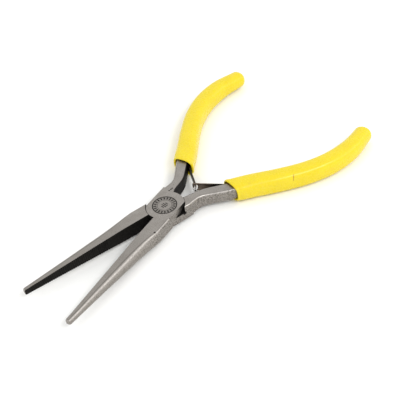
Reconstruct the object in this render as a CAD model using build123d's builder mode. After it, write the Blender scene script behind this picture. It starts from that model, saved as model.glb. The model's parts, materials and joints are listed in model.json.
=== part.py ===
from build123d import *
from math import cos, hypot, radians, sin, sqrt
import os

# Long needle nose pliers: two identical forged halves, crossed in a lap joint and held by one
# flush rivet, with a leaf spring riveted to the inside of each handle and a vinyl grip on it.
#
# Frame: millimetres, +Z up, origin on the pivot axis at the underside of the joint. The jaws
# point along -X and the handles along +X. The halves are drawn as they lie when closed, in a
# local frame with its origin at mid thickness, and stand open in the model, on their spring.
#   half B: jaw on local +Y, handle on local -Y, lower plate of the joint
#   half A: the same forging turned over about X, so it has the upper plate of the joint

# ---- driving dimensions ----------------------------------------------------------------
opening = 20.86              # angle between the jaws when the tool stands open, degrees
joint_thickness = 6.8        # both plates together
plate_gap = 0.08             # between the two plates of the lap joint
jaw_length = 69.9            # pivot to tip
root_x = -13.2               # the jaw is a flat block up to here, and half round beyond
jaw_shoulder = 8.45          # radius where the jaw reaches full thickness
handle_shoulder = 8.95       # radius where the handle reaches full thickness
shoulder_gap = 0.15          # shoulder to the edge of the other half's plate
notch_corner = (-3.8, -7.0)  # outer end of the plate's edge that faces the other half's jaw
plate_neck = [(9.6, -1.4), (9.6, -6.9), (5, -7.0)]  # where the plate runs into the handle
jaw_side = 6.7               # pivot to the outer side of the joint, on the jaw's side
handle_side = 7.0            # the same on the handle's side
corner_round = 0.8           # rounding of the long outer corners
inner_round = 0.4            # the same on the inner corners of the tang

# Half-round jaw: X, width of its flat top, width at mid height, half thickness, and half height
# of the flat strip along its outer side. It starts as the block with its corners rounded.
jaw_sections = [
    (-13.2, 5.9, 6.7, 3.4, 2.6),
    (-18.0, 5.1, 6.65, 3.4, 0.9),
    (-22.0, 4.3, 6.25, 3.33, 0.3),
    (-27.0, 3.6, 5.75, 3.13, 0.15),
    (-33.0, 3.0, 5.25, 2.88, 0.15),
    (-40.0, 2.55, 4.65, 2.58, 0.15),
    (-47.0, 2.15, 4.0, 2.29, 0.15),
    (-55.0, 1.75, 3.3, 1.96, 0.15),
    (-62.0, 1.4, 2.75, 1.66, 0.15),
    (-69.1, 1.1, 2.15, 1.37, 0.15),
]
# The rounded point of the jaw, from the last of those sections on.
tip_sections = [
    (-69.1, 1.1, 2.15, 1.37, 0.15),
    (-69.6, 0.95, 1.95, 1.25, 0.12),
    (-69.9, 0.55, 1.4, 0.9, 0.1),
]

tooth_pitch = 0.9            # serrations across the inner face of each jaw
tooth_depth = 0.2
tooth_first = 3.0            # from the tip
tooth_count = 42

rivet_radius = 2.2
rivet_head_radius = 3.2
rivet_head_depth = 1.0
rivet_clearance = 0.05       # rivet to the half that turns on it

mark_radius = 5.5            # outer ring of the plain round mark stamped on the joint
mark_line = 0.45
mark_depth = 0.15
mark_ticks = 20
tick_length = 1.25
tick_width = 0.55
tick_radius = 4.25           # middle of the ticks
bar_lengths = [1.6, 2.8, 2.8, 1.6]  # bars stamped across the rivet's head
bar_pitch = 0.85
bar_width = 0.4

leaf_thickness = 0.5
leaf_width = 4.0
leaf_start_x = 28.6          # bend where the leaf leaves the tang, along X when closed
bend_lift = 0.1              # under the leaf at its bend
foot_lift = 0.02             # under the riveted foot
leaf_meet = 19.25            # pivot to where the two leaves cross, when open
leaf_tip = 1.55              # slotted leaf beyond the crossing
window_length = 1.6          # window in the slotted leaf, along the leaf
window_width = 2.5
tongue_width = 2.0
tongue_start = 1.1           # the tongue begins this far short of the crossing
curl_reach = 1.8             # crossing to the centre of the curled end
curl_radius = 0.85

foot_gap = 0.3               # between the leaf's foot and the bend
foot_length = 8.0            # riveted end of the leaf, flat on the tang
foot_rivet_radius = 0.9
foot_rivet_head = 1.5
foot_rivet_height = 0.5
foot_rivet_depth = 2.6

# The tang thins quickly behind the joint and slowly from there on: X, half thickness.
tang_profile = [(12.0, 3.4), (18.0, 2.95), (87.0, 2.3)]
tang_blend = 80.0
tang_end_x = 87.0
face_point = (21.6, -3.8)    # the tang's inner face is one straight line from here
face_slope = -0.475
face_end_x = 39.0

grip_wall = 1.1
grip_corner = 3.4            # rounding of the grip's section
mouth_x = {"a": 27.9, "b": 28.4}  # where each dipped grip begins

# Grip centre line, from inside the mouth to the rounded end.
grip_line = [(25, -8.15), (36, -12.65), (48, -18.6), (60, -23.4), (72, -25.65), (84, -24.8), (95, -21.1)]
# Place along the centre line, half width across the handle, half thickness along Z.
grip_sections = [
    (0.0, 5.05, 4.2),
    (0.12, 4.9, 4.5),
    (0.25, 4.7, 4.65),
    (0.4, 4.5, 4.7),
    (0.6, 4.5, 4.6),
    (0.82, 4.4, 4.35),
    (1.0, 4.15, 3.8),
]
cavity_end = 0.93            # the hollow ends here along the centre line
cap_roundness = 0.85         # length of the rounded end over the half width there

half_thickness = joint_thickness / 2
half_opening = opening / 2


# ---- local frames ----------------------------------------------------------------------
def open_frame(turn, up):
    """Mid-thickness frame of a half that stands open by turn degrees; up is 1 or -1."""
    return Plane(
        origin=(0, 0, half_thickness),
        x_dir=(cos(radians(turn)), sin(radians(turn)), 0),
        z_dir=(0, 0, up),
    )


def side_view(frame):
    """Plane with the frame's X across and its Z up, for profiles seen from the side."""
    return Plane(origin=frame.origin, x_dir=frame.x_dir, z_dir=-frame.y_dir)


def face_y(x, height=0.0):
    """Y of the tang's inner face, or of a line that stands off it by height."""
    return face_point[1] + face_slope * (x - face_point[0]) + height * hypot(1, face_slope)


def on_circle(radius, y, side):
    """Point of a circle about the pivot at the given y, on its -X or +X side."""
    return (side * sqrt(radius**2 - y**2), y)


# Leaf: from the bend on the tang to the place where it crosses the other leaf.
bend = Vector(leaf_start_x, face_y(leaf_start_x, leaf_thickness / 2 + bend_lift), 0)
crossing = Vector(leaf_meet * cos(radians(half_opening)), leaf_meet * sin(radians(half_opening)), 0)
leaf_reach = (crossing - bend).length
leaf_dir = (crossing - bend).normalized()
face_dir = Vector(1, face_slope, 0).normalized()
face_normal = Vector(-face_dir.Y, face_dir.X, 0)


# ---- forged half -----------------------------------------------------------------------
def jaw_outline():
    """Plan of the jaw's block at the joint: flat inner face on X, arc round the joint."""
    root = on_circle(jaw_shoulder, jaw_side, -1)
    inner = Line((root_x, 0), (-jaw_shoulder, 0))
    ThreePointArc(inner @ 1, on_circle(jaw_shoulder, jaw_side / 2, -1), root)
    Polyline(root, (root_x, jaw_side), (root_x, 0))


def half_round(flat, width, height, waist):
    """Section of the jaw: flat inner face, flat top and bottom, rounded outer side."""
    Polyline((flat, -height), (0, -height), (0, height), (flat, height))
    EllipticalCenterArc((flat, waist), width - flat, height - waist, start_angle=0, arc_size=90)
    Line((width, waist), (width, -waist))
    EllipticalCenterArc((flat, -waist), width - flat, height - waist, start_angle=270, arc_size=90)


def tang_outline():
    """Plan of the full-thickness handle, from its shoulder at the joint to its end."""
    start = on_circle(handle_shoulder, -1.3, 1)
    corner = on_circle(handle_shoulder, -handle_side, 1)
    neck = Spline(
        start, (12.1, -1.75), (15.0, -2.03), (18.0, -2.45), face_point,
        tangents=[(1, -0.2), (1, face_slope)],
    )
    face = Line(neck @ 1, (face_end_x, face_y(face_end_x)))
    inner = Spline(
        face @ 1, (48, -16.2), (60, -21.2), (72, -23.6), (tang_end_x, -22.2),
        tangents=[(1, face_slope), (1, 0.3)],
    )
    end = Line(inner @ 1, (tang_end_x, -25.6))
    outer = Spline(
        end @ 1, (72, -27.6), (60, -25.5), (48, -21.1), (36, -15.6), (27, -11.95), (22.6, -9.8),
        (18.1, -7.44), (14.8, -6.25), (12.0, -6.3), (9.2, -6.85), corner,
        tangents=[(-1, -0.3), (-1, 0.02)],
    )
    ThreePointArc(outer @ 1, on_circle(handle_shoulder, -0.6 * handle_side, 1), start)


def is_long_corner(frame, edge, outer):
    """True for the long top and bottom edges of the outer side, or of the tang's inner side."""
    middle = frame.to_local_coords(edge @ 0.5)
    along = abs((edge % 0.5).dot(frame.x_dir)) > 0.8 and edge.length > 1
    level = abs(middle.Z) > 2
    jaw = middle.X < -6 and middle.Y > 1
    tang_outside = middle.X > 8 and middle.Y < min(-5, face_y(middle.X) - 1.5)
    tang_inside = middle.X > 8 and not tang_outside
    wanted = jaw or tang_outside if outer else tang_inside
    return along and level and wanted and edge.geom_type != GeomType.CIRCLE


def tooth_places():
    """Centres of the serrations on the inner face, from near the tip inwards."""
    return [(-jaw_length + tooth_first + tooth_pitch * i, 0) for i in range(tooth_count)]


def foot_plane(frame):
    """Plane on the tang's inner face at the foot's rivet, facing out of the tang."""
    along = foot_gap + foot_length * 0.6
    x = bend.X + along * face_dir.X
    return Plane(
        origin=frame.from_local_coords(Vector(x, face_y(x), 0)),
        x_dir=frame.z_dir,
        z_dir=frame.from_local_coords(face_normal) - frame.origin,
    )


def make_lever(frame, hole_clearance):
    """One forged half without its mark: jaw, joint plate and tang."""
    side = side_view(frame)
    below = frame.offset(-half_thickness)
    plate_thickness = half_thickness - plate_gap / 2
    far = 2 * jaw_length
    with BuildPart() as lever:
        with BuildSketch(frame):
            with BuildLine():
                jaw_outline()
            make_face()
            with BuildLine():
                tang_outline()
            make_face()
        extrude(amount=half_thickness, both=True)
        # The tang thins down towards its end.
        with BuildSketch(side):
            with BuildLine():
                top = FilletPolyline((root_x, half_thickness), *tang_profile, radius=tang_blend)
                bottom = mirror(top, about=Plane.XZ)
                Line(top @ 0, bottom @ 0)
                Line(top @ 1, bottom @ 1)
            make_face()
        extrude(amount=far, both=True, mode=Mode.INTERSECT)
        # Round the long corners, top and bottom.
        fillet(lever.edges().filter_by(lambda edge: is_long_corner(frame, edge, True)), corner_round)
        fillet(lever.edges().filter_by(lambda edge: is_long_corner(frame, edge, False)), inner_round)
        # Half-round jaw and its point.
        for sections in (jaw_sections, tip_sections):
            for x, *sizes in sections:
                origin = frame.from_local_coords((x, 0, 0))
                with BuildSketch(Plane(origin=origin, x_dir=frame.y_dir, z_dir=-frame.x_dir)):
                    with BuildLine():
                        half_round(*sizes)
                    make_face()
            loft()
        # Lower plate of the lap joint: a disc cut off along both sides of the joint, and cut
        # back where the other half's jaw turns against it.
        with BuildSketch(below):
            with Locations((0, (jaw_side - handle_side) / 2)):
                Rectangle(far, jaw_side + handle_side)
            Circle(handle_shoulder - shoulder_gap, mode=Mode.INTERSECT)
            with BuildLine():
                Polyline((0, 0), (0, -far), (-far, -far), (-far, 0), close=True)
            make_face(mode=Mode.SUBTRACT)
            with BuildLine():
                reach = jaw_shoulder - shoulder_gap
                arc = ThreePointArc((-reach, 0), on_circle(reach, notch_corner[1] / 2, -1), notch_corner)
                Polyline(arc @ 1, (0, notch_corner[1]), (0, 0), arc @ 0)
            make_face()
            with BuildLine():
                Polyline((0, 0), *plate_neck, (0, -handle_side), close=True)
            make_face()
        extrude(amount=plate_thickness)
        # Bore and countersink for the pivot rivet.
        with BuildSketch(below):
            Circle(rivet_radius + hole_clearance)
        extrude(amount=joint_thickness, mode=Mode.SUBTRACT)
        with BuildSketch(below):
            Circle(rivet_head_radius + hole_clearance)
        with BuildSketch(below.offset(rivet_head_depth)):
            Circle(rivet_radius + hole_clearance)
        loft(mode=Mode.SUBTRACT)
        # Serrations across the flat inner face of the jaw.
        with BuildSketch(frame):
            with Locations(*tooth_places()):
                Rectangle(tooth_depth * sqrt(2), tooth_depth * sqrt(2), rotation=45)
        extrude(amount=half_thickness, both=True, mode=Mode.SUBTRACT)
        # Blind hole in the tang for the rivet of the leaf's foot.
        with BuildSketch(foot_plane(frame)):
            Circle(foot_rivet_radius)
        extrude(amount=-foot_rivet_depth, mode=Mode.SUBTRACT)
    return lever


def make_marked_lever(frame):
    """Half A: the forging with a plain stamped ring of radial ticks around its rivet."""
    blank = make_lever(frame, 0.0)
    face = frame.offset(-half_thickness)
    with BuildPart() as lever:
        add(blank.part)
        with BuildSketch(face):
            Circle(mark_radius)
            Circle(mark_radius - mark_line, mode=Mode.SUBTRACT)
            with PolarLocations(tick_radius, mark_ticks):
                Rectangle(tick_length, tick_width)
        extrude(amount=mark_depth, mode=Mode.SUBTRACT)
    return lever


# ---- pivot rivet -----------------------------------------------------------------------
def make_pivot_rivet():
    """Rivet of the joint: a shank with a flush countersunk head at each end."""
    r, head = rivet_radius, rivet_head_radius
    with BuildPart() as rivet:
        with BuildSketch(Plane.XZ):
            with BuildLine():
                Polyline(
                    (0, 0),
                    (head, 0),
                    (r, rivet_head_depth),
                    (r, joint_thickness - rivet_head_depth),
                    (head, joint_thickness),
                    (0, joint_thickness),
                    close=True,
                )
            make_face()
        revolve(axis=Axis.Z)
        for index, length in enumerate(bar_lengths):
            along = (index - (len(bar_lengths) - 1) / 2) * bar_pitch
            with BuildSketch(Plane.XY.offset(joint_thickness)):
                with Locations((along, 0)):
                    Rectangle(bar_width, length)
            extrude(amount=-mark_depth, mode=Mode.SUBTRACT)
    return rivet


# ---- leaf springs ----------------------------------------------------------------------
def leaf_plane(frame):
    """Plane of the leaf: origin at the bend, X along the leaf, normal out of its flat side."""
    origin = frame.from_local_coords(bend)
    return Plane(
        origin=origin,
        x_dir=frame.from_local_coords(bend + leaf_dir) - origin,
        z_dir=frame.from_local_coords(bend + Vector(-leaf_dir.Y, leaf_dir.X, 0)) - origin,
    )


def make_slotted_leaf(frame):
    """Free blade of the leaf with the window near its tip."""
    length = leaf_reach + leaf_tip
    with BuildPart() as leaf:
        with BuildSketch(leaf_plane(frame)):
            with Locations((length / 2, 0)):
                Rectangle(length, leaf_width)
            with Locations((leaf_reach, 0)):
                Rectangle(window_length, window_width, mode=Mode.SUBTRACT)
        extrude(amount=leaf_thickness / 2, both=True)
    return leaf


def make_tongued_leaf(frame):
    """Free blade of the leaf with a narrow tongue and its curled end."""
    shoulder = leaf_reach - tongue_start
    curl = leaf_reach + curl_reach
    plane = leaf_plane(frame)
    across = Plane(origin=plane.origin, x_dir=plane.x_dir, z_dir=frame.z_dir)
    with BuildPart() as leaf:
        with BuildSketch(plane):
            with Locations((shoulder / 2, 0)):
                Rectangle(shoulder, leaf_width)
            with Locations((curl / 2, 0)):
                Rectangle(curl, tongue_width)
        extrude(amount=leaf_thickness / 2, both=True)
        with BuildSketch(across):
            with Locations((curl, 0)):
                Circle(curl_radius)
        extrude(amount=tongue_width / 2, both=True)
    return leaf


def make_foot(frame):
    """Riveted foot of the leaf, flat on the tang's inner face behind the bend."""
    rivet_along = foot_gap + foot_length * 0.6
    with BuildPart() as foot:
        with BuildSketch(foot_plane(frame).offset(foot_lift)):
            with Locations((0, foot_gap + foot_length / 2 - rivet_along)):
                Rectangle(leaf_width, foot_length)
            Circle(foot_rivet_radius, mode=Mode.SUBTRACT)
        extrude(amount=leaf_thickness)
    return foot


def make_foot_rivet(frame):
    """Small domed rivet through the foot into the tang."""
    plane = foot_plane(frame)
    with BuildPart() as rivet:
        with BuildSketch(plane.offset(-foot_rivet_depth)):
            Circle(foot_rivet_radius)
        extrude(amount=foot_rivet_depth + leaf_thickness + foot_lift)
        with BuildSketch(plane.offset(leaf_thickness + foot_lift)):
            Circle(foot_rivet_head)
        extrude(amount=foot_rivet_height, taper=30)
    return rivet


# ---- grips -----------------------------------------------------------------------------
def make_grip(frame, mouth):
    """Vinyl sleeve: rounded closed end, hollow over the tang, open mouth towards the joint."""
    with BuildLine(frame) as line:
        Spline(*grip_line)
    path = line.edge()
    end_width, end_depth = grip_sections[-1][1:]
    cap_length = end_width * cap_roundness

    def section(t, beyond=0.0):
        place = path @ t + (path % t) * beyond
        return Plane(origin=place, x_dir=frame.z_dir, z_dir=path % t)

    with BuildPart() as grip:
        for t, half_width, half_depth in grip_sections:
            with BuildSketch(section(t)):
                RectangleRounded(2 * half_depth, 2 * half_width, grip_corner)
        loft()
        for turn in (0, 30, 55, 78):
            shrink = cos(radians(turn))
            with BuildSketch(section(1.0, cap_length * sin(radians(turn)))):
                RectangleRounded(2 * end_depth * shrink, 2 * end_width * shrink, grip_corner * shrink)
        loft()
        for t, half_width, half_depth in grip_sections:
            wide, deep = half_width - grip_wall, half_depth - grip_wall
            with BuildSketch(section(min(t, cavity_end))):
                RectangleRounded(2 * deep, 2 * wide, grip_corner - grip_wall)
        loft(mode=Mode.SUBTRACT)
        with BuildSketch(Plane(origin=frame.origin, x_dir=frame.y_dir, z_dir=frame.x_dir)):
            Rectangle(100, 100)
        extrude(amount=mouth, mode=Mode.SUBTRACT)
    return grip


# ---- all the pieces --------------------------------------------------------------------
def main():
    frame_a = open_frame(half_opening, -1)
    frame_b = open_frame(-half_opening, 1)
    pieces = {
        "lever_a": make_marked_lever(frame_a),
        "lever_b": make_lever(frame_b, rivet_clearance),
        "pivot_rivet": make_pivot_rivet(),
        "leaf_spring_a": make_tongued_leaf(frame_a),
        "leaf_spring_b": make_slotted_leaf(frame_b),
        "grip_a": make_grip(frame_a, mouth_x["a"]),
        "grip_b": make_grip(frame_b, mouth_x["b"]),
    }
    for letter, frame in (("a", frame_a), ("b", frame_b)):
        pieces["leaf_foot_" + letter] = make_foot(frame)
        pieces["leaf_rivet_" + letter] = make_foot_rivet(frame)
    os.makedirs("parts", exist_ok=True)
    for name, piece in pieces.items():
        piece.part.label = name
        export_step(piece.part, "parts/" + name + ".step")
        print(name, round(piece.part.volume, 2), len(piece.part.solids()))


if __name__ == "__main__":
    main()
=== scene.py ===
import json
import math

import bmesh
import bpy
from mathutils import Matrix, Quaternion, Vector


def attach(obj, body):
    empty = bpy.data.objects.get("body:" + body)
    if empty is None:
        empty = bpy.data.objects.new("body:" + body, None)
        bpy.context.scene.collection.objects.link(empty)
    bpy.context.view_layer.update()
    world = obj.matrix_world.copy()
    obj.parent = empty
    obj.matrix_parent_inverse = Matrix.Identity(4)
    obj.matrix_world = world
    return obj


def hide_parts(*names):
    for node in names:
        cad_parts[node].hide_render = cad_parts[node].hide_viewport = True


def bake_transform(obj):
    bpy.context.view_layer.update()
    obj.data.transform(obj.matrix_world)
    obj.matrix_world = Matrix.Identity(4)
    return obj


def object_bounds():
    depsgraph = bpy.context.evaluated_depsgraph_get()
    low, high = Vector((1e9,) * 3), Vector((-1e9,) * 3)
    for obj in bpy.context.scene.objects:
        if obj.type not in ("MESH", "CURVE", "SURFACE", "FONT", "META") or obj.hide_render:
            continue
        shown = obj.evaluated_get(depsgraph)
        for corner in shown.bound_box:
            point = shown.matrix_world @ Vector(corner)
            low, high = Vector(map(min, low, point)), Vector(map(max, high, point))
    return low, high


# Looks of a pair of long needle nose pliers. The forged halves and the rivets are the CAD nodes
# with detailed steel; the vinyl grips and the leaf springs are built here and stand for theirs.

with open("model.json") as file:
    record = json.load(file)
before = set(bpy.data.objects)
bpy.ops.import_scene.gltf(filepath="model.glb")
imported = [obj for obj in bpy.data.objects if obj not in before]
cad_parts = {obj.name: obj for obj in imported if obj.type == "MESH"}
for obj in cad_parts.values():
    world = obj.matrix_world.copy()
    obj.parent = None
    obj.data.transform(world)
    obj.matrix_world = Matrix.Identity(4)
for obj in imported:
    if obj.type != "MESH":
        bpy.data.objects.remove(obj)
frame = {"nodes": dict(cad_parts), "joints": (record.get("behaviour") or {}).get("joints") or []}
cad_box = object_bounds()

MM = 0.001

# ---- sizes of the frame, in millimetres ------------------------------------------------
HALF_OPENING = math.radians(10.43)   # each half is turned this far from closed
MIDDLE = 3.4                         # height of mid thickness
TOP = 2 * MIDDLE                     # height of the joint's top face
SHOULDER = 8.95                      # radius of the joint's shoulders
MARK_RADIUS = 5.5                    # stamped ring on the joint
RIVET_HEAD = 3.2                     # radius

# Places in the row frame as the tool lies at rest.
NICK = (-14.5, -8.4, 6.7)            # small dent on the jaw
DOTS = [(7.9, 4.9, 6.8), (8.9, 4.9, 6.8), (9.8, 4.9, 6.8)]  # punched by the handle
SCUFF = (46.2, -33.3, 6.3)           # short dark line on grip B
SCUFF_ACROSS = (-0.74, 0.62, 0.24)   # direction across it
SMUDGE = (31.5, -23.5, 4.6)          # where grip B is soiled, behind its mouth

# Leaf springs.
LEAF_THICKNESS = 0.5
LEAF_WIDTH = 4.0
FACE_SLOPE = -0.475                  # of the tang's inner face
LEAF_MEET = 19.25                    # pivot to where the leaves cross, along X
FOOT_LENGTH = 8.5                    # from the bend, under the grip
FOOT_DROP = 0.08                     # the foot lies this much closer to the tang than the bend
BEND_RADIUS = 3.0
LEAF_TIP = 1.5                       # slotted leaf beyond the crossing
LEAF_CORNER = 0.5                    # radius of its two corners
WINDOW_LENGTH = 1.6
WINDOW_WIDTH = 2.5
TONGUE_WIDTH = 2.0
TONGUE_START = 1.1                   # short of the crossing
CURL_START = 2.0                     # beyond the crossing
CURL_RADIUS = 0.65                   # of the middle of the strip
CURL_TURN = math.radians(300)
EDGE_ROUNDING = 0.07                 # of the strip's edges
FOLD_REACH = 2.2                     # stops this far to each side of the bend are gathered, and nothing uses them

# Vinyl grips.
GRIP_MOUTH = {"a": 27.9, "b": 28.4}  # along X of the half's frame
GRIP_WALL = 0.85
GRIP_INSET = 0.02                    # the sleeve lies this far inside the solid model's
GRIP_HUG = 0.04                      # the mouth closes in on the tang by this share of its size
HUG_REACH = 0.05                     # and opens out over this share of the centre line
SQUARE_REACH = 0.12                  # the mouth is cut across X, not across the centre line
LIP_LENGTH = 0.8
# Centre line of the grip in the closed half's frame, then half width and half depth along it.
GRIP_LINE = [
    (25, -8.15),
    (36, -12.65),
    (48, -18.6),
    (60, -23.4),
    (72, -25.65),
    (84, -24.8),
    (95, -21.1),
]
GRIP_SECTIONS = [
    (0.0, 5.05, 4.2),
    (0.12, 4.9, 4.5),
    (0.25, 4.7, 4.65),
    (0.4, 4.5, 4.7),
    (0.6, 4.5, 4.6),
    (0.82, 4.4, 4.35),
    (1.0, 4.15, 3.8),
]
GRIP_CAVITY = 0.93                   # the hollow ends here along the centre line
GRIP_CAP = 3.5                       # length of the domed end
RING_POINTS = 72
SECTION_POWERS = (2.9, 2.2)          # of the section's superellipse, along the grip and at its end


# ---- the two halves' frames ------------------------------------------------------------
class Half:
    """Frame of one half as it stands open: X along its tang, Y to its jaw's side, in mm."""

    def __init__(self, letter, side):
        self.letter = letter
        self.x = Vector((math.cos(HALF_OPENING), side * math.sin(HALF_OPENING), 0))
        self.y = Vector((0, 0, -side)).cross(self.x)
        self.z = Vector((0, 0, -side))

    def point(self, x, y, z=0.0):
        place = x * self.x + y * self.y + z * self.z + Vector((0, 0, MIDDLE))
        return place * MM


HALVES = {"a": Half("a", 1), "b": Half("b", -1)}


# ---- node materials --------------------------------------------------------------------
class Shader:
    """A node material. Places are in mm in the row frame, as the piece is at rest."""

    def __init__(self, name):
        self.material = bpy.data.materials.new(name)
        self.material.use_nodes = True
        self.tree = self.material.node_tree
        self.surface = self.tree.nodes["Principled BSDF"]
        coords = self.add("TexCoord")
        self.place = self.scale(coords.outputs["Object"], 1 / MM)
        self.normal = coords.outputs["Normal"]

    def add(self, kind, **settings):
        node = self.tree.nodes.new("ShaderNode" + kind)
        for key, value in settings.items():
            setattr(node, key, value)
        return node

    def put(self, value, socket):
        if isinstance(value, bpy.types.NodeSocket):
            self.tree.links.new(value, socket)
        else:
            socket.default_value = value

    def scale(self, vector, factor):
        node = self.add("VectorMath", operation="SCALE")
        self.put(vector, node.inputs[0])
        self.put(factor, node.inputs["Scale"])
        return node.outputs[0]

    def times(self, vector, factors):
        node = self.add("VectorMath", operation="MULTIPLY")
        self.put(vector, node.inputs[0])
        self.put(factors, node.inputs[1])
        return node.outputs[0]

    def dot(self, vector, other):
        node = self.add("VectorMath", operation="DOT_PRODUCT")
        self.put(vector, node.inputs[0])
        self.put(other, node.inputs[1])
        return node.outputs["Value"]

    def distance(self, vector, point):
        node = self.add("VectorMath", operation="DISTANCE")
        self.put(vector, node.inputs[0])
        self.put(point, node.inputs[1])
        return node.outputs["Value"]

    def direction(self, vector):
        node = self.add("VectorMath", operation="NORMALIZE")
        self.put(vector, node.inputs[0])
        return node.outputs[0]

    def math(self, operation, *values):
        node = self.add("Math", operation=operation)
        for value, socket in zip(values, node.inputs):
            self.put(value, socket)
        return node.outputs[0]

    def ramp(self, value, low, high, start=0.0, end=1.0):
        """Smooth step of a value from low to high, going from start to end."""
        node = self.add("MapRange", interpolation_type="SMOOTHSTEP")
        for number, socket in zip((value, low, high, start, end), node.inputs):
            self.put(number, socket)
        return node.outputs[0]

    def both(self, *masks):
        total = masks[0]
        for mask in masks[1:]:
            total = self.math("MULTIPLY", total, mask)
        return total

    def either(self, *masks):
        total = masks[0]
        for mask in masks[1:]:
            total = self.math("MAXIMUM", total, mask)
        return total

    def mix(self, factor, first, second):
        """Mix of two colours or of two numbers."""
        is_colour = any(isinstance(v, tuple) or getattr(v, "type", "") == "RGBA" for v in (first, second))
        node = self.add("Mix", data_type="RGBA" if is_colour else "FLOAT")
        kind = "RGBA" if is_colour else "VALUE"
        sockets = [s for s in node.inputs if s.type == kind and s.enabled and s.name in ("A", "B")]
        self.put(factor, node.inputs[0])
        for value, socket in zip((first, second), sockets):
            self.put(value, socket)
        return next(s for s in node.outputs if s.enabled)

    def noise(self, size, detail=3.0, rough=0.55, stretch=(1, 1, 1)):
        """Noise whose blobs are about size mm across; stretch makes them longer along an axis."""
        node = self.add("TexNoise")
        self.put(self.times(self.place, tuple(1 / s for s in stretch)), node.inputs["Vector"])
        self.put(1 / size, node.inputs["Scale"])
        self.put(detail, node.inputs["Detail"])
        self.put(rough, node.inputs["Roughness"])
        return node.outputs["Fac"]

    def cells(self, size, randomness=1.0):
        """Distance to the nearest of many scattered points about size mm apart, in cell sizes."""
        node = self.add("TexVoronoi")
        self.put(self.place, node.inputs["Vector"])
        self.put(1 / size, node.inputs["Scale"])
        self.put(randomness, node.inputs["Randomness"])
        return node.outputs["Distance"], node.outputs["Color"]

    def bump(self, height, depth, strength=1.0, under=None):
        """Bump of a height from 0 to 1 that stands for depth mm."""
        node = self.add("Bump")
        self.put(strength, node.inputs["Strength"])
        self.put(depth * MM, node.inputs["Distance"])
        self.put(height, node.inputs["Height"])
        if under is not None:
            self.put(under, node.inputs["Normal"])
        return node.outputs[0]

    def set(self, **values):
        names = {
            "colour": "Base Color",
            "metal": "Metallic",
            "rough": "Roughness",
            "normal": "Normal",
            "gloss": "Specular IOR Level",
        }
        for key, value in values.items():
            self.put(value, self.surface.inputs[names.get(key, key)])


def grey(level, warm=0.0):
    """A linear grey, a little warmer or cooler."""
    return (level * (1 + warm), level, level * (1 - warm), 1.0)


def stamp_depth(s, height):
    """Mask of the floors and walls of what is stamped into the joint's top face."""
    return s.both(s.ramp(height, TOP - 0.02, TOP - 0.06), s.ramp(height, TOP - 0.4, TOP - 0.3))


def oxide_and_gap_shade_masks(s, half, along, upright, radius):
    """Where the black of the heat treatment stays on the inner faces of jaw and tang, and the joint's faces
    in its gaps, whose black is partly the heat treatment's and partly painted shade.

    The second mask is the part of the tang's inner face by the joint, where the black is worn.
    """
    inward = s.dot(s.normal, tuple(half.y))
    level = s.math("ABSOLUTE", s.math("SUBTRACT", s.dot(s.place, (0, 0, 1)), MIDDLE))
    to_axis = s.dot(s.normal, s.direction(s.times(s.place, (1, 1, 0))))
    jaw_face = s.both(s.ramp(inward, -0.35, -0.5), s.ramp(along, -7.6, -8.4))
    tang_face = s.both(s.ramp(inward, 0.15, 0.45), s.ramp(along, 8.2, 9.0))
    # The joint's gaps: partly the black of the heat treatment, partly painted shade.
    mating = s.both(
        s.ramp(level, 0.9, 0.5),
        s.ramp(radius, SHOULDER + 0.5, SHOULDER + 0.2),
        s.either(s.ramp(along, 4.2, 4.8), s.ramp(upright, 0.5, 0.8)),
    )
    notch_wall = s.both(
        s.ramp(s.math("MULTIPLY_ADD", level, -1.5, along), 0.4, 1.4),
        s.ramp(inward, 0.8, 0.95),
        s.ramp(radius, 8.4, 8.0),
    )
    shoulder = s.both(s.ramp(to_axis, -0.7, -0.85), s.ramp(radius, SHOULDER + 0.3, SHOULDER + 0.1))
    plate_edge = s.both(
        s.ramp(to_axis, 0.93, 0.97), s.ramp(radius, 7.7, 7.9), s.ramp(radius, SHOULDER, SHOULDER - 0.1)
    )
    black = s.either(jaw_face, tang_face, mating, notch_wall, shoulder, plate_edge)
    return black, s.both(tang_face, s.ramp(along, 18.5, 15.0))


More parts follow.
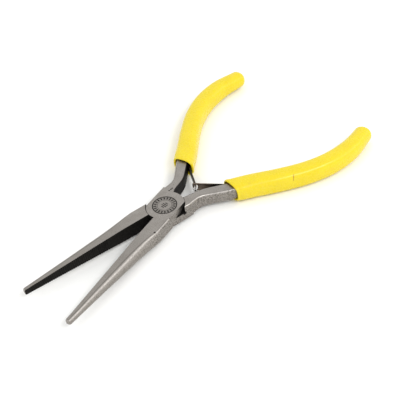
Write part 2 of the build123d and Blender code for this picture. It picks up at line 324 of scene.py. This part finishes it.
def forged_steel(half):
    """Ground top and bottom, blasted sides, and the black of the heat treatment left inside; painted
    highlights where the sides round over, and painted shade on the upright faces, along the flat's edge, on
    the jaw's top towards its tip and in the joint's gaps.
    """
    s = Shader("forged_steel_" + half.letter)
    along = s.dot(s.place, tuple(half.x))
    upright = s.math("ABSOLUTE", s.dot(s.normal, (0, 0, 1)))
    radius = s.distance(s.times(s.place, (1, 1, 0)), (0, 0, 0))
    black, worn = oxide_and_gap_shade_masks(s, half, along, upright, radius)

    # Ground faces are a warm light grey with fine speckle; sides are darker and coarser.
    cloud = s.noise(5.0, 2.0)
    grain = s.noise(0.28, 3.0, 0.65)
    coarse = s.noise(0.55, 4.0, 0.7)
    drawn = s.noise(0.12, 2.0, 0.5, stretch=(6, 6, 1))
    ground = s.mix(s.ramp(grain, 0.32, 0.68), grey(0.25, 0.07), grey(0.37, 0.07))
    ground = s.mix(s.ramp(cloud, 0.35, 0.7, 0.0, 0.35), ground, grey(0.22, 0.1))
    # Painted shade: the ground faces darken along the jaw towards its tip.
    ground = s.mix(s.ramp(along, -14.0, -22.0, 0.0, 0.3), ground, grey(0.21, 0.08))
    blasted = s.mix(s.ramp(coarse, 0.3, 0.62), grey(0.1, 0.1), grey(0.38, 0.08))
    brushed = s.noise(0.3, 3.0, 0.6, stretch=(0.5, 3, 3))
    brushed = s.mix(s.ramp(brushed, 0.3, 0.7), grey(0.2, 0.1), grey(0.36, 0.08))
    blasted = s.mix(s.ramp(along, -17.0, -26.0, 0.0, 0.85), blasted, brushed)
    side = s.ramp(upright, 0.75, 0.45)
    steel = s.mix(side, ground, blasted)

    # Painted highlight, a lighter grey where the sides round over, with a thin dark line of painted shade
    # along the flat's edge.
    fillet_band = s.both(s.ramp(upright, 0.97, 0.9), s.ramp(upright, 0.4, 0.62))
    painted_highlight = s.both(fillet_band, s.ramp(coarse, 0.35, 0.65, 0.1, 0.55), s.ramp(along, -16.0, -8.0, 0.5, 1.0))
    steel = s.mix(painted_highlight, steel, grey(0.56, 0.05))
    # Painted shade: a thin dark line along the edge of the flat.
    rim = s.both(s.ramp(upright, 0.998, 0.99), s.ramp(upright, 0.93, 0.965))
    steel = s.mix(s.math("MULTIPLY", rim, 0.45), steel, grey(0.1, 0.1))
    # Painted shade: faces that stand upright are darkened.
    steel = s.mix(s.ramp(upright, 0.35, 0.1, 0.0, 0.2), steel, grey(0.1, 0.12))

    # Sparse dark pits, the dent and the punched dots.
    distance, tint = s.cells(1.7)
    pit_size = s.ramp(s.dot(tint, (1, 0, 0)), 0.55, 1.0, 0.0, 0.12)
    pits = s.math("GREATER_THAN", pit_size, distance)
    steel = s.mix(s.math("MULTIPLY", pits, 0.75), steel, grey(0.06, 0.1))
    nick = s.ramp(s.distance(s.place, NICK), 0.65, 0.3)
    dots = s.either(*(s.ramp(s.distance(s.place, dot), 0.46, 0.34) for dot in DOTS))
    steel = s.mix(s.math("MULTIPLY", s.either(nick, dots), 0.9), steel, grey(0.02, 0.1))

    # Stamped ring on the joint's top face: dark in the grooves, dull between them.
    height = s.dot(s.place, (0, 0, 1))
    groove = s.both(
        stamp_depth(s, height),
        s.ramp(radius, MARK_RADIUS + 0.3, MARK_RADIUS + 0.15),
    )
    stamped = s.both(
        s.ramp(height, TOP - 0.04, TOP - 0.01),
        s.ramp(radius, MARK_RADIUS - 0.3, MARK_RADIUS - 0.5),
    )

    # Black of the inner faces, and partly painted shade in the joint's gaps: even, but scratched through to
    # a dull grey where it is worn.
    scratches = s.noise(0.1, 2.0, 0.6, stretch=(1, 1, 0.08))
    bare = s.mix(s.ramp(scratches, 0.45, 0.65), grey(0.008, 0.08), grey(0.04, 0.06))
    black_oxide_and_shade = s.mix(s.ramp(coarse, 0.4, 0.7), grey(0.005, 0.13), grey(0.014, 0.1))
    dark = s.mix(worn, black_oxide_and_shade, bare)
    colour = s.mix(black, steel, dark)
    colour = s.mix(s.math("MULTIPLY", stamped, 0.3), colour, grey(0.05, 0.12))
    colour = s.mix(s.math("MULTIPLY", groove, 0.97), colour, grey(0.006, 0.15))

    rough = s.mix(side, s.ramp(grain, 0.3, 0.7, 0.46, 0.34), s.ramp(coarse, 0.3, 0.7, 0.5, 0.3))
    rough = s.mix(fillet_band, rough, s.ramp(coarse, 0.3, 0.7, 0.42, 0.32))
    rough = s.mix(black, rough, 0.62)
    metal = s.mix(s.either(black, groove), 1.0, 0.1)
    fine = s.bump(s.mix(side, grain, coarse), 0.012, 0.7)
    normal = s.bump(drawn, 0.004, 0.5, under=fine)
    normal = s.bump(s.math("MULTIPLY", pits, -1.0), 0.03, 0.6, under=normal)
    s.set(colour=colour, metal=metal, rough=rough, normal=normal, gloss=0.12)
    return s.material


def rivet_steel():
    """Ground flush with the joint: like the faces round it, with a faint seam at its rim."""
    s = Shader("rivet_steel")
    radius = s.distance(s.times(s.place, (1, 1, 0)), (0, 0, 0))
    grain = s.noise(0.28, 3.0, 0.65)
    cloud = s.noise(2.2, 2.0)
    colour = s.mix(s.ramp(grain, 0.32, 0.68), grey(0.24, 0.07), grey(0.35, 0.07))
    colour = s.mix(s.ramp(cloud, 0.4, 0.7, 0.0, 0.4), colour, grey(0.22, 0.09))
    seam = s.ramp(radius, RIVET_HEAD - 0.22, RIVET_HEAD - 0.05)
    bars = stamp_depth(s, s.dot(s.place, (0, 0, 1)))
    dark = s.math("MULTIPLY", s.either(seam, bars), 0.92)
    colour = s.mix(dark, colour, grey(0.01, 0.1))
    rough = s.ramp(grain, 0.3, 0.7, 0.46, 0.34)
    s.set(colour=colour, metal=1.0, rough=rough, normal=s.bump(grain, 0.012, 0.6))
    return s.material


def spring_steel():
    """Tempered strip: brown, blacker towards its foot, partly the temper's black and partly painted shade
    under the grip, and bright on the curled end.
    """
    s = Shader("spring_steel")
    meet = s.distance(s.place, (LEAF_MEET, 0, MIDDLE))
    knob = s.distance(s.place, tuple(curl_centre() / MM))
    grain = s.noise(0.2, 3.0, 0.6, stretch=(3, 3, 1))
    temper = s.noise(2.5, 2.0)
    brown = s.mix(s.ramp(temper, 0.35, 0.65), (0.17, 0.13, 0.10, 1.0), (0.29, 0.23, 0.185, 1.0))
    # Darker towards the foot, partly the temper's black and partly painted shade under the grip; darker too
    # on the +Y side.
    far = s.either(s.ramp(meet, 3.5, 10.5), s.ramp(s.dot(s.place, (0, 1, 0)), 0.5, 2.0, 0.0, 0.85))
    colour = s.mix(far, brown, (0.010, 0.009, 0.009, 1.0))
    bright = s.ramp(knob, 1.9, 1.4)
    colour = s.mix(s.math("MULTIPLY", bright, 0.95), colour, grey(0.72, 0.02))
    s.set(
        colour=colour,
        metal=1.0,
        rough=s.mix(bright, s.ramp(grain, 0.3, 0.7, 0.42, 0.3), 0.16),
        normal=s.bump(grain, 0.006, 0.6),
    )
    return s.material


def yellow_vinyl():
    """Dipped vinyl: smooth and semi-gloss, with faint flow marks, smudges and specks of dirt."""
    s = Shader("yellow_vinyl")
    flow = s.noise(6.0, 2.0, 0.5)
    smudge = s.noise(2.2, 5.0, 0.65)
    fine = s.noise(0.4, 2.0, 0.5)
    colour = s.mix(s.ramp(flow, 0.3, 0.7), (0.725, 0.570, 0.011, 1.0), (0.75, 0.595, 0.015, 1.0))

    # Soiled in faint patches, more so near the smudge, with sparse specks and one scuff.
    near_smudge = s.ramp(s.distance(s.place, SMUDGE), 6.0, 2.0, 0.1, 0.4)
    soiled = s.both(s.ramp(smudge, 0.5, 0.7), near_smudge)
    colour = s.mix(soiled, colour, (0.50, 0.36, 0.05, 1.0))
    distance, tint = s.cells(4.5)
    speck_size = s.ramp(s.dot(tint, (0, 1, 0)), 0.6, 1.0, 0.0, 0.045)
    specks = s.math("GREATER_THAN", speck_size, distance)
    colour = s.mix(s.math("MULTIPLY", specks, 0.6), colour, (0.25, 0.17, 0.04, 1.0))
    off = s.math("SUBTRACT", s.dot(s.place, SCUFF_ACROSS), Vector(SCUFF).dot(Vector(SCUFF_ACROSS)))
    wave = s.math("MULTIPLY_ADD", s.noise(1.5), 1.2, -0.6)
    off = s.math("ABSOLUTE", s.math("ADD", off, wave))
    scuff = s.both(s.ramp(off, 0.32, 0.12), s.ramp(s.distance(s.place, SCUFF), 1.6, 1.2))
    colour = s.mix(s.math("MULTIPLY", scuff, 0.8), colour, (0.35, 0.17, 0.02, 1.0))
    rough = s.ramp(smudge, 0.3, 0.75, 0.25, 0.31)
    normal = s.bump(flow, 0.04, 0.4)
    normal = s.bump(fine, 0.005, 0.3, under=normal)
    s.set(colour=colour, rough=rough, normal=normal, gloss=0.4)
    s.surface.inputs["Subsurface Weight"].default_value = 0.12
    s.surface.inputs["Subsurface Radius"].default_value = (0.0015, 0.0010, 0.0002)
    s.surface.inputs["Subsurface Scale"].default_value = 1.0
    return s.material


# ---- mesh helpers ----------------------------------------------------------------------
def smooth_step(value):
    value = min(max(value, 0.0), 1.0)
    return value * value * (3 - 2 * value)


def new_piece(name, mesh, material):
    piece = bpy.data.objects.new(name, mesh)
    bpy.context.scene.collection.objects.link(piece)
    mesh.materials.append(material)
    return piece


def skin_rings(name, rings):
    """Closed mesh through rings of points, of which the first and the last are a single point."""
    bm = bmesh.new()
    loops = [[bm.verts.new(point) for point in ring] for ring in rings]
    count = len(loops[1])
    for before, after in zip(loops, loops[1:]):
        for i in range(count):
            j = (i + 1) % count
            if len(before) == 1:
                bm.faces.new((before[0], after[i], after[j]))
            elif len(after) == 1:
                bm.faces.new((before[j], before[i], after[0]))
            else:
                bm.faces.new((before[i], after[i], after[j], before[j]))
    bmesh.ops.recalc_face_normals(bm, faces=bm.faces)
    mesh = bpy.data.meshes.new(name)
    bm.to_mesh(mesh)
    bm.free()
    mesh.shade_smooth()
    return mesh


# ---- vinyl grips -----------------------------------------------------------------------
class GripLine:
    """Smooth curve through the grip's centre line, with a parameter from 0 to 1."""

    def __init__(self):
        points = [Vector(p) for p in GRIP_LINE]
        ahead = 2 * points[-1] - points[-2]
        behind = 2 * points[0] - points[1]
        self.points = [behind] + points + [ahead]
        self.spans = len(points) - 1

    def at(self, t):
        span = min(max(int(t * self.spans), 0), self.spans - 1)
        u = t * self.spans - span
        a, b, c, d = self.points[span:span + 4]
        square = (2 * a - 5 * b + 4 * c - d) * u**2
        cube = (3 * b - a - 3 * c + d) * u**3
        return 0.5 * (2 * b + (c - a) * u + square + cube)

    def slope(self, t):
        step = 1e-3
        return (self.at(t + step) - self.at(t - step)).normalized()

    def find_x(self, x):
        low, high = 0.0, 0.5
        while high - low > 1e-6:
            middle = (low + high) / 2
            low, high = (middle, high) if self.at(middle).x < x else (low, middle)
        return low


def section_size(t):
    """Half width and half depth of the grip at a place along its centre line."""
    for (t0, w0, d0), (t1, w1, d1) in zip(GRIP_SECTIONS, GRIP_SECTIONS[1:]):
        if t <= t1:
            u = (t - t0) / (t1 - t0)
            return w0 + (w1 - w0) * u, d0 + (d1 - d0) * u
    return GRIP_SECTIONS[-1][1:]


def section_power(t):
    along, end = SECTION_POWERS
    return along + (end - along) * smooth_step((t - 0.7) / 0.3)


def section_ring(half, centre, across, half_width, half_depth, power, hug=0.0):
    """Superellipse of points round a centre, across in the half's XY plane and deep along Z.

    hug draws it in by that share, except on the side of the leaf.
    """
    ring = []
    for i in range(RING_POINTS):
        angle = 2 * math.pi * i / RING_POINTS
        c, s = math.cos(angle), math.sin(angle)
        reach = (abs(c) ** power + abs(s) ** power) ** (-1 / power)
        reach *= 1 - hug * smooth_step(0.6 - c)
        flat = centre + across * (c * reach * half_width)
        ring.append(half.point(flat.x, flat.y, s * reach * half_depth))
    return ring


def grip_mesh(half):
    """Sleeve with a rounded lip at its mouth, a hollow for the tang and a domed end."""
    line = GripLine()
    mouth = line.find_x(GRIP_MOUTH[half.letter])

    def frame_at(t):
        slope = line.slope(t)
        normal = Vector((-slope.y, slope.x))
        turn = smooth_step((t - mouth) / SQUARE_REACH)
        across = Vector((0, 1)).lerp(normal, turn).normalized()
        return line.at(t), across, across.dot(normal)

    def ring(t, inset, shift=0.0, hug=0.0):
        centre, across, lean = frame_at(t)
        width, depth = section_size(t)
        inset += GRIP_INSET
        centre = centre + Vector((shift, 0))
        size = ((width - inset) / lean, depth - inset)
        return section_ring(half, centre, across, *size, section_power(t), hug)

    # End of the hollow, then its wall from there to the mouth.
    centre, across, _ = frame_at(GRIP_CAVITY)
    width, depth = section_size(GRIP_CAVITY)
    rings = [[half.point(centre.x, centre.y)]]
    for share in (0.5, 0.85, 0.97):
        inner = ((width - GRIP_WALL) * share, (depth - GRIP_WALL) * share)
        rings.append(section_ring(half, centre, across, *inner, section_power(GRIP_CAVITY)))
    steps = 40
    for i in range(steps):
        t = GRIP_CAVITY + (mouth - GRIP_CAVITY) * i / steps
        rings.append(ring(t, GRIP_WALL, hug=GRIP_HUG * smooth_step(1 - (t - mouth) / HUG_REACH)))

    # Lip, outside and domed end.
    lip = GRIP_WALL / 2
    turns = 8
    for i in range(turns + 1):
        angle = math.pi * i / turns
        hug = GRIP_HUG * (1 + math.cos(angle)) / 2
        rings.append(ring(mouth, lip * (1 + math.cos(angle)), LIP_LENGTH * (1 - math.sin(angle)), hug))
    steps = 90
    for i in range(1, steps + 1):
        rings.append(ring(mouth + (1 - mouth) * i / steps, 0.0, LIP_LENGTH * smooth_step(1 - i / 4)))
    width, depth = (size - GRIP_INSET for size in section_size(1.0))
    end, slope = line.at(1.0), line.slope(1.0)
    across = Vector((-slope.y, slope.x))
    turns = 16
    for i in range(1, turns):
        angle = math.pi / 2 * i / turns
        centre = end + slope * (GRIP_CAP * math.sin(angle))
        shrink = math.cos(angle)
        rings.append(section_ring(half, centre, across, width * shrink, depth * shrink, section_power(1)))
    tip = end + slope * GRIP_CAP
    rings.append([half.point(tip.x, tip.y)])
    return skin_rings("grip_" + half.letter + "_sleeve", rings)


# ---- leaf springs ----------------------------------------------------------------------
class Walk:
    """Middle line of a strip, walked in the half's XY plane: points, side directions, lengths."""

    def __init__(self, start, heading):
        self.point, self.heading, self.along = Vector(start), heading, 0.0
        self.stops = []
        self.stop()

    def stop(self):
        side = Vector((-math.sin(self.heading), math.cos(self.heading)))
        self.stops.append((self.point.copy(), side, self.along))

    def go(self, length, turn=0.0, steps=1):
        """Goes on by a length while turning by an angle, in even steps."""
        for _ in range(steps):
            middle = self.heading + turn / steps / 2
            self.point = self.point + Vector((math.cos(middle), math.sin(middle))) * (length / steps)
            self.heading += turn / steps
            self.along += length / steps
            self.stop()


def strip_mesh(name, half, stops, rows, row_height, is_hole):
    """Strip with thickness along its stops. rows are heights over its middle, from low to high."""
    bm = bmesh.new()
    sheets = []
    for side in (-0.5, 0.5):
        sheet = []
        for index, (point, normal, _) in enumerate(stops):
            flat = point + normal * (side * LEAF_THICKNESS)
            sheet.append([bm.verts.new(half.point(flat.x, flat.y, row_height(index, row))) for row in rows])
        sheets.append(sheet)
    cells = {
        (i, j)
        for i in range(len(stops) - 1)
        for j in range(len(rows) - 1)
        if not is_hole(i, (rows[j] + rows[j + 1]) / 2)
    }
    for i, j in cells:
        corners = ((i, j), (i + 1, j), (i + 1, j + 1), (i, j + 1))
        for sheet in sheets:
            bm.faces.new([sheet[a][b] for a, b in corners])
        neighbours = ((i, j - 1), (i + 1, j), (i, j + 1), (i - 1, j))
        for k, neighbour in enumerate(neighbours):
            if neighbour not in cells:
                (a, b), (c, d) = corners[k], corners[(k + 1) % 4]
                low, high = sheets
                bm.faces.new((low[a][b], low[c][d], high[c][d], high[a][b]))
    loose = [v for v in bm.verts if not v.link_faces]
    bmesh.ops.delete(bm, geom=loose, context="VERTS")
    bmesh.ops.recalc_face_normals(bm, faces=bm.faces)
    sharp = [e for e in bm.edges if e.calc_face_angle(0.0) > math.radians(50)]
    rounding = {"offset": EDGE_ROUNDING * MM, "segments": 2, "profile": 0.6, "clamp_overlap": True}
    bmesh.ops.bevel(bm, geom=sharp, affect="EDGES", **rounding)
    bmesh.ops.remove_doubles(bm, verts=bm.verts, dist=0.001 * MM)
    mesh = bpy.data.meshes.new(name)
    bm.to_mesh(mesh)
    bm.free()
    mesh.shade_smooth()
    return mesh


def leaf_ends(half):
    """Bend of the leaf and its crossing with the other leaf, in the half's XY plane in mm."""
    joint = next(j for j in frame["joints"] if j["name"] == "leaf_" + half.letter + "_flex")
    place = Vector(joint["pos_m"]) / MM
    bend = Vector((place.dot(half.x), place.dot(half.y)))
    cross = Vector((LEAF_MEET * math.cos(HALF_OPENING), LEAF_MEET * math.sin(HALF_OPENING)))
    return bend, cross


def curl_centre():
    """Centre of the curled end of the tongued leaf, in metres in the row frame."""
    bend, cross = leaf_ends(HALVES["a"])
    way = (cross - bend).normalized()
    centre = cross + way * CURL_START + Vector((-way.y, way.x)) * CURL_RADIUS
    return HALVES["a"].point(*centre)


def leaf_mesh(half):
    """Riveted foot, bend and free blade of a leaf, with a window or a curled tongue at its end."""
    bend, cross = leaf_ends(half)
    foot_way = Vector((1, FACE_SLOPE)).normalized()
    blade_way = (cross - bend).normalized()
    bend += Vector((foot_way.y, -foot_way.x)) * FOOT_DROP
    foot_heading = math.atan2(-foot_way.y, -foot_way.x)
    blade_heading = math.atan2(blade_way.y, blade_way.x)
    turn = blade_heading - foot_heading
    ease = BEND_RADIUS * math.tan(abs(turn) / 2)
    reach = (cross - bend).length
    walk = Walk(bend + foot_way * FOOT_LENGTH, foot_heading)
    walk.go(0.5, steps=3)
    walk.go(FOOT_LENGTH - ease - 0.5, steps=8)
    walk.go(BEND_RADIUS * abs(turn), turn, steps=8)
    start = walk.stops[-1][2]
    end_width = LEAF_WIDTH / 2
    if half.letter == "a":
        walk.go(reach - ease - TONGUE_START, steps=14)
        shoulder = len(walk.stops) - 1
        walk.go(TONGUE_START + CURL_START, steps=5)
        walk.go(CURL_RADIUS * CURL_TURN, CURL_TURN, steps=30)
        rows = [-end_width, -TONGUE_WIDTH / 2, 0.0, TONGUE_WIDTH / 2, end_width]

        def is_hole(index, row):
            return index >= shoulder and abs(row) > TONGUE_WIDTH / 2

        def row_height(index, row):
            return row

    else:
        walk.go(reach - ease - WINDOW_LENGTH / 2, steps=14)
        first = len(walk.stops) - 1
        walk.go(WINDOW_LENGTH, steps=3)
        last = len(walk.stops) - 1
        tip = LEAF_TIP - WINDOW_LENGTH / 2
        walk.go(tip, steps=4)
        end = walk.stops[-1][2]
        rows = [-end_width, -WINDOW_WIDTH / 2, 0.0, WINDOW_WIDTH / 2, end_width]

        def is_hole(index, row):
            return first <= index < last and abs(row) < WINDOW_WIDTH / 2

        def row_height(index, row):
            if abs(row) < end_width:
                return row
            short = max(0.0, LEAF_CORNER - (end - walk.stops[index][2]))
            rise = math.sqrt(max(LEAF_CORNER**2 - short**2, 0.0))
            return math.copysign(end_width - LEAF_CORNER + rise, row)

    name = "leaf_spring_" + half.letter + "_strip"
    mesh = strip_mesh(name, half, walk.stops, rows, row_height, is_hole)
    return mesh, walk.stops, start


# ---- the pieces ------------------------------------------------------------------------
def dress_cad_nodes():
    """Detailed materials on the CAD nodes that stay."""
    materials = {
        "lever_a": forged_steel(HALVES["a"]),
        "lever_b": forged_steel(HALVES["b"]),
        "pivot_rivet": rivet_steel(),
    }
    small = spring_steel()
    for letter in HALVES:
        materials["leaf_rivet_" + letter] = small
    for node, material in materials.items():
        mesh = frame["nodes"][node].data
        mesh.materials.clear()
        mesh.materials.append(material)
    return small


def make_pieces():
    spring = dress_cad_nodes()
    vinyl = yellow_vinyl()
    for letter, half in HALVES.items():
        body = "half_" + letter
        grip = new_piece("grip_" + letter + "_sleeve", grip_mesh(half), vinyl)
        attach(grip, body)
        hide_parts("grip_" + letter)
        mesh, stops, start = leaf_mesh(half)
        leaf = new_piece("leaf_spring_" + letter + "_strip", mesh, spring)
        bend = [half.point(*stop[0]) for stop in stops if abs(stop[2] - start) < FOLD_REACH]
        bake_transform(leaf)
        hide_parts("leaf_spring_" + letter, "leaf_foot_" + letter)


# ---- stage, light and camera -----------------------------------------------------------
FLOOR_REACH = 3.0                    # metres
LAMP_DISTANCE = 0.9


def make_floor():
    level = cad_box[0].z
    bm = bmesh.new()
    reach = FLOOR_REACH
    corners = [(-reach, -reach), (reach, -reach), (reach, reach), (-reach, reach)]
    bm.faces.new([bm.verts.new((x, y, level)) for x, y in corners])
    mesh = bpy.data.meshes.new("floor")
    bm.to_mesh(mesh)
    bm.free()
    material = bpy.data.materials.new("pale_floor")
    material.use_nodes = True
    surface = material.node_tree.nodes["Principled BSDF"]
    surface.inputs["Base Color"].default_value = (0.93, 0.93, 0.92, 1.0)
    surface.inputs["Roughness"].default_value = 0.7
    surface.inputs["Specular IOR Level"].default_value = 0.2
    new_piece("floor", mesh, material)


def direction(azimuth, elevation):
    """From the object towards azimuth degrees (0 is -Y, 90 is +X) and elevation degrees."""
    a, e = math.radians(azimuth), math.radians(elevation)
    return Vector((math.sin(a) * math.cos(e), -math.cos(a) * math.cos(e), math.sin(e)))


def add_softbox(name, azimuth, elevation, size, power):
    data = bpy.data.lights.new(name, "AREA")
    data.shape = "RECTANGLE"
    data.size, data.size_y = size
    data.energy = power
    lamp = bpy.data.objects.new(name, data)
    way = direction(azimuth, elevation)
    lamp.location = way * LAMP_DISTANCE
    lamp.rotation_mode = "QUATERNION"
    lamp.rotation_quaternion = way.to_track_quat("Z", "Y")
    bpy.context.scene.collection.objects.link(lamp)


def make_light():
    world = bpy.data.worlds.new("studio")
    world.use_nodes = True
    background = world.node_tree.nodes["Background"]
    background.inputs["Color"].default_value = (1.0, 1.0, 0.99, 1.0)
    background.inputs["Strength"].default_value = 1.05
    bpy.context.scene.world = world
    add_softbox("front", 6, 50, (0.5, 0.16), 2.5)
    add_softbox("right", 50, 30, (0.5, 0.3), 0.7)
    bpy.context.scene.view_settings.view_transform = "Standard"


CAMERA_AIM = (13.87, -7.40, MIDDLE)  # mm, where the camera's axis meets mid thickness
CAMERA_DISTANCE = 431.87
CAMERA_AZIMUTH = -41.08
CAMERA_ELEVATION = 41.93
CAMERA_ROLL = math.radians(8.85)
CAMERA_LENS = 89.84


def make_camera():
    data = bpy.data.cameras.new("camera")
    data.lens = CAMERA_LENS
    data.clip_start = 0.01
    camera = bpy.data.objects.new("camera", data)
    back = direction(CAMERA_AZIMUTH, CAMERA_ELEVATION)
    camera.location = (Vector(CAMERA_AIM) + back * CAMERA_DISTANCE) * MM
    camera.rotation_mode = "QUATERNION"
    camera.rotation_quaternion = back.to_track_quat("Z", "Y") @ Quaternion((0, 0, 1), -CAMERA_ROLL)
    bpy.context.scene.collection.objects.link(camera)
    bpy.context.scene.camera = camera


make_pieces()
make_floor()
make_light()
make_camera()
